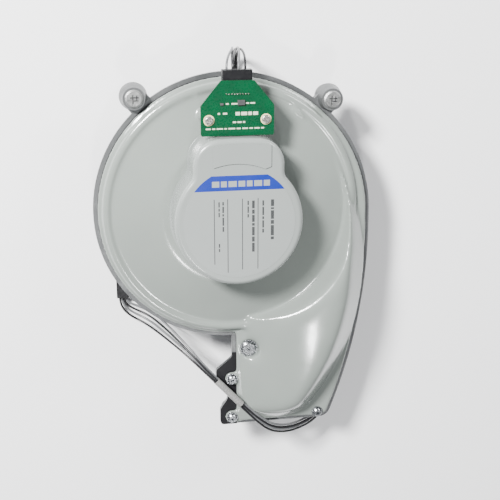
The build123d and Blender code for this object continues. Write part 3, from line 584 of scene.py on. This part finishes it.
FINISHES: dict[str, Finish] = {
    # The lower housing's darker raw cast metal is its own tone. Part of this darkness is painted shade for its shaded
    # side walls.
    "cast_aluminium": Finish(
        "raw_casting_and_painted_shade", (0.17, 0.175, 0.175), (0.10, 0.104, 0.106),
        smooth=0.34, rough=0.55, metallic=0.7, scale=18.0, grain=900.0, bump=0.30, coat=0.0, cast=0.5,
    ),
    "painted_casting": Finish(
        "light_grey_enamel", (0.215, 0.238, 0.217), (0.185, 0.207, 0.19),
        smooth=0.14, rough=0.26, metallic=0.0, scale=12.0, grain=500.0, bump=0.04, coat=0.5,
    ),
    "painted_cap": Finish(
        "pale_cap_enamel", (0.235, 0.254, 0.242), (0.212, 0.230, 0.219),
        smooth=0.22, rough=0.36, metallic=0.0, scale=16.0, grain=700.0, bump=0.05, coat=0.2,
    ),
    # The gasket's near-black colour is painted shade: it stands for the shaded left-facing walls under the outlet ears.
    "black_gasket": Finish(
        "gasket_painted_shade_black", (0.006, 0.006, 0.007), (0.012, 0.012, 0.013),
        smooth=0.6, rough=0.85, metallic=0.0, scale=60.0, grain=1600.0, bump=0.25, gleam=0.18,
    ),
    "zinc_screws": Finish(
        "zinc_plate_dark", (0.34, 0.35, 0.36), (0.22, 0.23, 0.24),
        smooth=0.18, rough=0.36, metallic=1.0, scale=160.0, grain=2600.0, bump=0.10,
    ),
    # The pins' dark ink crosses are painted shade of recessed swage grooves.
    "pin_metal": PrintedFinish(
        "peened_pin", (0.42, 0.425, 0.42), (0.22, 0.22, 0.215),
        smooth=0.26, rough=0.5, metallic=0.9, scale=240.0, grain=2400.0, bump=0.45, coat=0.0, cast=0.35,
        marks=PUNCH_GROOVE_SHADE,
        ink=(0.035, 0.035, 0.036),
    ),
    "nozzle_plastic": Finish(
        "moulded_black", (0.032, 0.033, 0.035), (0.05, 0.05, 0.053),
        smooth=0.35, rough=0.6, metallic=0.0, scale=40.0, grain=1800.0, bump=0.10,
    ),
    "seal_rubber": Finish(
        "seal_rubber", (0.022, 0.022, 0.023), (0.04, 0.04, 0.04),
        smooth=0.55, rough=0.8, metallic=0.0, scale=70.0, grain=1500.0, bump=0.15,
    ),
    "impeller_metal": Finish(
        "impeller_sheet", (0.62, 0.63, 0.64), (0.48, 0.49, 0.50),
        smooth=0.25, rough=0.45, metallic=1.0, scale=30.0, grain=1800.0, bump=0.08,
    ),
    "bright_steel": Finish(
        "ground_steel", (0.58, 0.58, 0.59), (0.46, 0.46, 0.47),
        smooth=0.14, rough=0.3, metallic=1.0, scale=60.0, grain=3000.0, bump=0.05,
    ),
    "spring_steel": Finish(
        "blued_steel", (0.20, 0.20, 0.22), (0.12, 0.12, 0.14),
        smooth=0.25, rough=0.4, metallic=1.0, scale=80.0, grain=2600.0, bump=0.08,
    ),
    "zinc_plate": Finish(
        "rotor_zinc", (0.55, 0.56, 0.55), (0.44, 0.45, 0.46),
        smooth=0.22, rough=0.42, metallic=1.0, scale=35.0, grain=1500.0, bump=0.08,
    ),
    "magnet_ferrite": Finish(
        "ferrite", (0.045, 0.045, 0.05), (0.07, 0.07, 0.075),
        smooth=0.5, rough=0.75, metallic=0.0, scale=70.0, grain=1700.0, bump=0.2,
    ),
    "brass_tube": Finish(
        "turned_brass", (0.62, 0.44, 0.17), (0.48, 0.33, 0.13),
        smooth=0.2, rough=0.38, metallic=1.0, scale=45.0, grain=2500.0, bump=0.06,
    ),
    "core_steel": Finish(
        "laminated_steel", (0.30, 0.30, 0.31), (0.20, 0.20, 0.21),
        smooth=0.35, rough=0.55, metallic=1.0, scale=60.0, grain=2200.0, bump=0.2,
    ),
    "insulator_plastic": Finish(
        "ivory_moulding", (0.72, 0.69, 0.58), (0.64, 0.61, 0.50),
        smooth=0.4, rough=0.6, metallic=0.0, scale=40.0, grain=1300.0, bump=0.08,
    ),
    "copper_winding": Finish(
        "enamelled_copper", (0.50, 0.17, 0.05), (0.36, 0.11, 0.03),
        smooth=0.2, rough=0.4, metallic=0.6, scale=260.0, grain=2600.0, bump=0.5, coat=0.4,
    ),
    "black_parts": Finish(
        "component_black", (0.03, 0.03, 0.032), (0.05, 0.05, 0.05),
        smooth=0.4, rough=0.6, metallic=0.0, scale=90.0, grain=2200.0, bump=0.12,
    ),
    "post_plastic": Finish(
        "post_moulding", (0.55, 0.58, 0.55), (0.48, 0.51, 0.48),
        smooth=0.35, rough=0.55, metallic=0.0, scale=50.0, grain=1500.0, bump=0.08,
    ),
    "tin_screws": Finish(
        "tinned_screw", (0.66, 0.65, 0.60), (0.50, 0.48, 0.42),
        smooth=0.2, rough=0.42, metallic=1.0, scale=220.0, grain=2600.0, bump=0.2,
    ),
    "black_plastic": Finish(
        "connector_black", (0.005, 0.005, 0.006), (0.010, 0.010, 0.011),
        smooth=0.34, rough=0.52, metallic=0.0, scale=80.0, grain=2200.0, bump=0.1, gleam=0.22,
    ),
    "ribbon_film": Finish(
        "ribbon_film", (0.55, 0.53, 0.46), (0.48, 0.46, 0.40),
        smooth=0.3, rough=0.5, metallic=0.0, scale=60.0, grain=1500.0, bump=0.06,
    ),
    "black_sleeve": Finish(
        "black_sleeving", (0.018, 0.018, 0.019), (0.034, 0.034, 0.036),
        smooth=0.28, rough=0.46, metallic=0.0, scale=90.0, grain=1600.0, bump=0.12,
    ),
    "pale_sleeve": Finish(
        "clear_sleeving", (0.36, 0.36, 0.345), (0.27, 0.27, 0.26),
        smooth=0.18, rough=0.34, metallic=0.0, scale=120.0, grain=1800.0, bump=0.08, coat=0.2, cast=0.0, passing=0.35,
    ),
    "wire_grey": Finish(
        "grey_wire", (0.12, 0.123, 0.127), (0.085, 0.088, 0.092),
        smooth=0.3, rough=0.45, metallic=0.0, scale=110.0, grain=2200.0, bump=0.06, coat=0.1,
    ),
    "wire_black": Finish(
        "black_wire", (0.006, 0.006, 0.007), (0.014, 0.014, 0.015),
        smooth=0.28, rough=0.44, metallic=0.0, scale=110.0, grain=2200.0, bump=0.06, gleam=0.3,
    ),
    "green_board": PrintedFinish(
        "board_lacquer", (0.001, 0.058, 0.020), (0.001, 0.040, 0.015),
        smooth=0.22, rough=0.36, metallic=0.0, scale=130.0, grain=2600.0, bump=0.05, coat=0.1, gleam=0.3,
        marks=SILK_PRINT,
        ink=(0.62, 0.66, 0.52),
        rings=tuple((x, y, *SCREW_PAD) for x, y in BOARD_SCREWS),
        ring_ink=(0.70, 0.62, 0.36),
    ),
    "label_film": PrintedFinish(
        "label_film", (0.245, 0.262, 0.253), (0.228, 0.245, 0.236),
        smooth=0.3, rough=0.45, metallic=0.0, scale=20.0, grain=1500.0, bump=0.03, coat=0.1,
        marks=LABEL_LINES + LABEL_PRINT,
        ink=(0.004, 0.004, 0.006),
        blocks=BAND,
        block_ink=(0.002, 0.017, 0.22),
        reserved=BAND_SPARED,
    ),
}


class Wardrobe:
    """Builds each finish once and hands out its material."""

    def __init__(self) -> None:
        """Starts with nothing built."""
        self.made: dict[str, bpy.types.Material] = {}

    def material(self, slot: str) -> bpy.types.Material:
        """Returns the material of one of the record's slots."""
        if slot not in self.made:
            self.made[slot] = FINISHES[slot].material()
        return self.made[slot]

    def dress_nodes(self, frame: dict) -> None:
        """Gives every CAD node the finish of its slot in the record.
        """
        for subpart in frame["record"]["subparts"]:
            dress(frame["nodes"][subpart["node"]], self.material(subpart["material_slot"]))


# ---------------------------------------------------------------------------------------------------------------------
# Camera, floor and light
# ---------------------------------------------------------------------------------------------------------------------


@dataclass
class Studio:
    """The camera over the fan, a pale floor and three soft boxes."""

    right: Vector = field(default_factory=lambda: Vector((0.986, 0.0, 0.169)))
    back: Vector = field(default_factory=lambda: Vector((-0.161, 0.301, 0.940)))
    target: Point = (0.0152, -0.0351, 0.044)
    distance: float = 0.75
    lens: float = 67.5
    clip: tuple[float, float] = (0.01, 50.0)
    floor_side: float = 8.0
    floor_gap: float = 0.2 * MM
    paper_roughness: float = 0.9
    sky_colour: tuple[float, float, float, float] = (0.93, 0.95, 1.0, 1.0)
    sky_strength: float = 0.34

    def build_camera(self) -> None:
        """Places the camera at its distance from the target and makes it the scene's."""
        away = self.back.normalized()
        side = (self.right - away * self.right.dot(away)).normalized()
        up = away.cross(side)
        bpy.ops.object.camera_add(location=Vector(self.target) + away * self.distance)
        camera = name_piece(bpy.context.object, "studio_camera")
        camera.rotation_mode = "QUATERNION"
        camera.rotation_quaternion = Matrix((side, up, away)).transposed().to_quaternion()
        camera.data.lens = self.lens
        camera.data.clip_start, camera.data.clip_end = self.clip
        bpy.context.scene.camera = camera
        deselect_all()

    def build_floor(self) -> None:
        """Lays a flat pale floor just under the fan."""
        deselect_all()
        bpy.ops.mesh.primitive_plane_add(size=self.floor_side, location=(0.0, 0.0, -self.floor_gap))
        floor = name_piece(bpy.context.object, "studio_floor")
        material = bpy.data.materials.new("studio_paper")
        material.use_nodes = True
        canvas = NodeCanvas(material.node_tree)
        shader = material.node_tree.nodes["Principled BSDF"]
        place = canvas.add("ShaderNodeTexCoord").outputs["Object"]
        tone = canvas.blend(canvas.noise(place, 3.0), (0.95, 0.95, 0.95, 1.0), (0.93, 0.93, 0.935, 1.0))
        canvas.feed(shader, "Base Color", tone)
        shader.inputs["Roughness"].default_value = self.paper_roughness
        dress(floor, material)

    def add_soft_box(self, name: str, place: Point, aim: Point, side: float, power: float) -> None:
        """Hangs one square soft box.

        Args:
            name: The light's name.
            place: Where it hangs.
            aim: What it points at.
            side: Its side.
            power: Its power in watts.
        """
        bpy.ops.object.light_add(type="AREA", location=place)
        light = name_piece(bpy.context.object, name)
        light.data.shape = "SQUARE"
        light.data.size = side
        light.data.energy = power
        light.rotation_mode = "QUATERNION"
        light.rotation_quaternion = (Vector(aim) - Vector(place)).to_track_quat("-Z", "Y")
        deselect_all()

    def build_lights(self) -> None:
        """Hangs the soft boxes and sets an even sky."""
        self.add_soft_box("key_box", (-0.80, 0.78, 1.08), self.target, 0.26, 96.0)
        self.add_soft_box("side_box", (1.20, 1.00, 0.90), self.target, 0.5, 16.0)
        self.add_soft_box("low_box", (-0.10, -0.70, 1.45), self.target, 0.13, 9.0)
        world = bpy.data.worlds.new("studio_sky")
        world.use_nodes = True
        sky = world.node_tree.nodes["Background"]
        sky.inputs["Color"].default_value = self.sky_colour
        sky.inputs["Strength"].default_value = self.sky_strength
        bpy.context.scene.world = world


# ---------------------------------------------------------------------------------------------------------------------
# The wiring loom
# ---------------------------------------------------------------------------------------------------------------------


@dataclass(frozen=True)
class Station:
    """A place on the loom: the bundle's middle, and how far its wires lie apart sideways and on each other."""

    middle: Point
    side_gap: float
    stack_gap: float


def station(x: float, y: float, z: float, side_gap: float, stack_gap: float) -> Station:
    """Returns a station whose sizes are given in millimetres."""
    return Station((x * MM, y * MM, z * MM), side_gap * MM, stack_gap * MM)


@dataclass
class WireLoom:
    """Four wires from the board's plug to a sleeve under the housing, and on to the end connector."""

    wire_radius: float = 0.9 * MM
    sleeve_radius: float = 3.0 * MM
    side: tuple[float, ...] = (-1.5, -0.5, 0.5, 1.5)
    stack: tuple[float, ...] = (-0.5, 0.5, -0.5, 0.5)
    top_lengths: tuple[float, ...] = (0.0848, 0.0819, 0.0836, 0.0811)
    low_lengths: tuple[float, ...] = (0.2416, 0.2464, 0.2496, 0.2550)
    sleeve_length: float = 0.3169
    top: tuple[Station, ...] = (
        station(0.4, 111.55, 69.8, 4.6, 0.0),
        station(0.4, 116.2, 69.8, 4.6, 0.0),
        station(2.4, 121.0, 60.5, 3.8, 0.3),
        station(5.0, 122.6, 46.0, 2.6, 0.7),
        station(7.0, 122.6, 30.0, 2.0, 1.2),
        station(8.0, 119.2, 15.5, 1.5, 1.5),
        station(8.8, 111.5, 5.8, 1.1, 1.75),
        station(9.6, 102.2, 3.4, 0.98, 1.75),
    )
    hidden: tuple[Point, ...] = (
        (0.0096, 0.1010, 0.0032), (0.0125, 0.0900, 0.0031), (0.0240, 0.0800, 0.0031), (0.0410, 0.0710, 0.0031),
        (0.0580, 0.0570, 0.0031), (0.0710, 0.0340, 0.0031), (0.0790, 0.0050, 0.0031), (0.0860, -0.0260, 0.0031),
        (0.0915, -0.0600, 0.0031), (0.0940, -0.0960, 0.0031), (0.0954, -0.1280, 0.0032), (0.0942, -0.1540, 0.0050),
        (0.0904, -0.1730, 0.0096), (0.0860, -0.1840, 0.0154),
    )
    low: tuple[Station, ...] = (
        station(85.7, -184.7, 15.8, 0.98, 1.75),
        station(82.6, -190.8, 20.0, 1.05, 1.75),
        station(76.0, -195.6, 27.2, 1.4, 1.5),
        station(64.0, -197.2, 35.6, 1.9, 1.0),
        station(49.0, -197.0, 43.8, 2.2, 0.5),
        station(34.0, -191.6, 51.6, 2.1, 0.5),
        station(22.5, -182.8, 53.2, 1.5, 1.2),
        station(12.0, -172.6, 52.4, 0.98, 1.75),
        station(-19.8, -137.2, 52.4, 0.98, 1.75),
        station(-36.0, -120.8, 42.0, 1.8, 1.2),
        station(-52.0, -108.6, 24.0, 3.2, 0.8),
        station(-66.5, -100.4, 8.0, 3.9, 0.4),
        station(-79.0, -95.4, 3.9, 3.4, 0.4),
        station(-85.4, -89.6, 3.7, 2.1, 0.8),
        station(-86.0, -83.6, 3.7, 1.7, 1.3),
    )

    def strand(self, stations: tuple[Station, ...], index: int, level: Vector | None = None) -> list[Vector]:
        """Gives the route of one wire of the bundle.

        Args:
            stations: The bundle's stations.
            index: Which wire.
            level: The bundle's sideways direction where it doesn't follow from its run.

        Returns:
            The wire's route points.
        """
        route: list[Vector] = []
        for place, here in enumerate(stations):
            before = Vector(stations[max(place - 1, 0)].middle)
            after = Vector(stations[min(place + 1, len(stations) - 1)].middle)
            along = (after - before).normalized()
            across = level if level is not None else Vector((-along.y, along.x, 0.0)).normalized()
            above = along.cross(across)
            offset = across * self.side[index] * here.side_gap + above * self.stack[index] * here.stack_gap
            route.append(Vector(here.middle) + offset)
        return route

    def lay(self, name: str, route: list[Vector], radius: float) -> bpy.types.Object:
        """Lays one cord as a smooth curve.

        Args:
            name: The piece's name, which is also the CAD node it stands for.
            route: The control points.
            radius: The cord's radius.

        Returns:
            The curve.
        """
        data = bpy.data.curves.new(name, "CURVE")
        data.dimensions = "3D"
        data.resolution_u = 10
        data.bevel_depth = 1.0
        data.bevel_resolution = 5
        data.use_fill_caps = True
        spline = data.splines.new("NURBS")
        spline.points.add(len(route) - 1)
        for point, place in zip(spline.points, route):
            point.co = (*place, 1.0)
            point.radius = radius
        spline.order_u = 3
        spline.use_endpoint_u = True
        piece = bpy.data.objects.new(f"{name}_cord", data)
        bpy.context.scene.collection.objects.link(piece)
        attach(piece, HOUSING)
        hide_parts(name)
        return piece

    def build(self, frame: dict, wardrobe: Wardrobe) -> None:
        """Lays and dresses every cord.

        Args:
            wardrobe: The finishes.
        """
        slots = {row["node"]: row["material_slot"] for row in frame["record"]["subparts"]}
        level = Vector((1.0, 0.0, 0.0))
        for index in range(4):
            name = f"top_wire_{index + 1}"
            route = self.strand(self.top, index, level)
            wire = self.lay(name, route, self.wire_radius)
            dress(wire, wardrobe.material(slots[name]))
        sleeve = self.lay("loom_sleeve", [Vector(place) for place in self.hidden], self.sleeve_radius)
        dress(sleeve, wardrobe.material(slots["loom_sleeve"]))
        for index in range(4):
            name = f"low_wire_{index + 1}"
            route = self.strand(self.low, index)
            wire = self.lay(name, route, self.wire_radius)
            dress(wire, wardrobe.material(slots[name]))
        LOG.info("wiring loom: 8 wires and a sleeve")


# ---------------------------------------------------------------------------------------------------------------------
# Shells and details
# ---------------------------------------------------------------------------------------------------------------------


@dataclass
class ScrollShell:
    """The upper shell: the casting with its crests rounded as a mould leaves them."""

    voxel: float = 1.2 * MM
    even_passes: int = 4
    soft_passes: int = 170
    soft_from: float = 50.4 * MM
    soft_full: float = 56.0 * MM
    plate_keep: float = 93.5 * MM
    plate_fade: float = 4.0 * MM
    merge_distance: float = 1e-6
    even_factor: float = 0.5
    soft_factor: float = 0.6

    def softness(self, place: Vector) -> float:
        """Tells how much a point of the shell is smoothed.

        Args:
            place: The point.

        Returns:
            From 0, kept, to 1, rounded over.
        """
        rise = min(max((place.z - self.soft_from) / (self.soft_full - self.soft_from), 0.0), 1.0)
        reach = Vector((place.x, place.y)).length
        clear = min(max((reach - self.plate_keep) / self.plate_fade, 0.0), 1.0)
        return rise * clear

    def build(self, frame: dict, wardrobe: Wardrobe) -> None:
        """Makes the softened skin and hides the sharp one.

        Args:
            wardrobe: The finishes.
        """
        node = frame["nodes"]["upper_housing"]
        deselect_all()
        skin = bpy.data.objects.new("upper_shell", node.data.copy())
        bpy.context.scene.collection.objects.link(skin)
        make_active(skin)
        bpy.ops.object.mode_set(mode="EDIT")
        bpy.ops.mesh.select_all(action="SELECT")
        bpy.ops.mesh.remove_doubles(threshold=self.merge_distance)
        bpy.ops.object.mode_set(mode="OBJECT")
        remesh = skin.modifiers.new("skin", "REMESH")
        remesh.mode = "VOXEL"
        remesh.voxel_size = self.voxel
        even = skin.modifiers.new("even", "SMOOTH")
        even.factor, even.iterations = self.even_factor, self.even_passes
        apply_modifiers(skin)
        crest = skin.vertex_groups.new(name="crest")
        for vertex in skin.data.vertices:
            weight = self.softness(vertex.co)
            if weight > 0.0:
                crest.add([vertex.index], weight, "REPLACE")
        soften = skin.modifiers.new("soften", "SMOOTH")
        soften.factor, soften.iterations = self.soft_factor, self.soft_passes
        soften.vertex_group = crest.name
        apply_modifiers(skin)
        bpy.ops.object.shade_smooth()
        dress(skin, wardrobe.material("painted_casting"))
        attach(skin, HOUSING)
        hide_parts("upper_housing")
        LOG.info("upper shell: %d faces", len(skin.data.polygons))


@dataclass
class BoardDetails:
    """What stands on the connector board: solder joints of the header and two small chips."""

    joints: int = 9
    pitch: float = 2.0 * MM
    row_y: float = 94.6 * MM
    joint_radius: float = 0.72 * MM
    pin_radius: float = 0.28 * MM
    joint_height: float = 0.7 * MM
    pin_height: float = 0.45 * MM
    chips: tuple[tuple[str, float, float, Point], ...] = (
        ("board_chip", 0.0026, 0.0885, (0.0060, 0.0042, 0.0015)),
        ("board_diode", -0.0115, 0.0875, (0.0028, 0.0018, 0.0011)),
    )

    def solder_joint(self, place: Vector) -> bpy.types.Object:
        """Models one solder cone with its pin through the middle.

        Args:
            place: The joint's centre on the board.

        Returns:
            The joint.
        """
        deselect_all()
        bpy.ops.mesh.primitive_cone_add(
            vertices=20, radius1=self.joint_radius, radius2=self.pin_radius, depth=self.joint_height,
            location=place + Vector((0.0, 0.0, self.joint_height / 2)),
        )
        joint = bpy.context.object
        bpy.ops.object.mode_set(mode="EDIT")
        bpy.ops.mesh.select_all(action="DESELECT")
        bpy.ops.object.mode_set(mode="OBJECT")
        top = max(joint.data.polygons, key=lambda face: face.center.z)
        top.select = True
        bpy.ops.object.mode_set(mode="EDIT")
        bpy.ops.mesh.select_mode(type="FACE")
        bpy.ops.mesh.extrude_region_move(TRANSFORM_OT_translate={"value": (0.0, 0.0, self.pin_height)})
        bpy.ops.object.mode_set(mode="OBJECT")
        edge = joint.modifiers.new("edge", "BEVEL")
        edge.width, edge.segments = 0.10 * MM, 2
        apply_modifiers(joint)
        bpy.ops.object.shade_smooth_by_angle(angle=0.9)
        apply_place(joint)
        return joint

    def chip(self, name: str, centre: Vector, size: Vector) -> bpy.types.Object:
        """Models one moulded chip with drafted sides and soft edges.

        Args:
            name: The piece's name.
            centre: The middle of its foot.
            size: Its width, length and height.

        Returns:
            The chip.
        """
        deselect_all()
        bpy.ops.mesh.primitive_cube_add(size=1.0, location=centre + Vector((0.0, 0.0, size.z / 2)))
        body = name_piece(bpy.context.object, name)
        body.scale = size
        apply_place(body)
        for face in body.data.polygons:
            face.select = face.normal.z > 0.9
        bpy.ops.object.mode_set(mode="EDIT")
        bpy.ops.mesh.select_mode(type="FACE")
        bpy.ops.transform.resize(value=(0.9, 0.9, 1.0), center_override=centre + Vector((0.0, 0.0, size.z)))
        bpy.ops.mesh.inset(thickness=0.35 * MM, depth=0.0)
        bpy.ops.object.mode_set(mode="OBJECT")
        edge = body.modifiers.new("edge", "BEVEL")
        edge.width, edge.segments, edge.limit_method = 0.18 * MM, 3, "ANGLE"
        apply_modifiers(body)
        bpy.ops.object.shade_smooth_by_angle(angle=0.6)
        return body

    def build(self, wardrobe: Wardrobe) -> None:
        """Models and places the details.

        Args:
            wardrobe: The finishes.
        """
        low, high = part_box("connector_board")
        middle = (low.x + high.x) / 2
        first = middle - self.pitch * (self.joints - 1) / 2
        joints = [
            self.solder_joint(Vector((first + self.pitch * count, self.row_y, high.z))) for count in range(self.joints)
        ]
        row = join_pieces(joints, "header_joints")
        dress(row, wardrobe.material("tin_screws"))
        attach(row, HOUSING)
        for name, x, y, size in self.chips:
            chip = self.chip(name, Vector((middle + x, y, high.z)), Vector(size))
            dress(chip, wardrobe.material("black_parts"))
            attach(chip, HOUSING)
        LOG.info("connector board: %d joints and 2 chips", self.joints)


def main() -> None:
    """Builds the scene piece by piece."""
    logging.basicConfig(level=logging.INFO, format="%(name)s: %(message)s")
    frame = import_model()
    deselect_all()
    studio = Studio()
    studio.build_camera()
    build_groups()
    wardrobe = Wardrobe()
    WireLoom().build(frame, wardrobe)
    wardrobe.dress_nodes(frame)
    ScrollShell().build(frame, wardrobe)
    BoardDetails().build(wardrobe)
    studio.build_floor()
    studio.build_lights()
    bpy.context.view_layer.update()


if __name__ == "__main__":
    main()
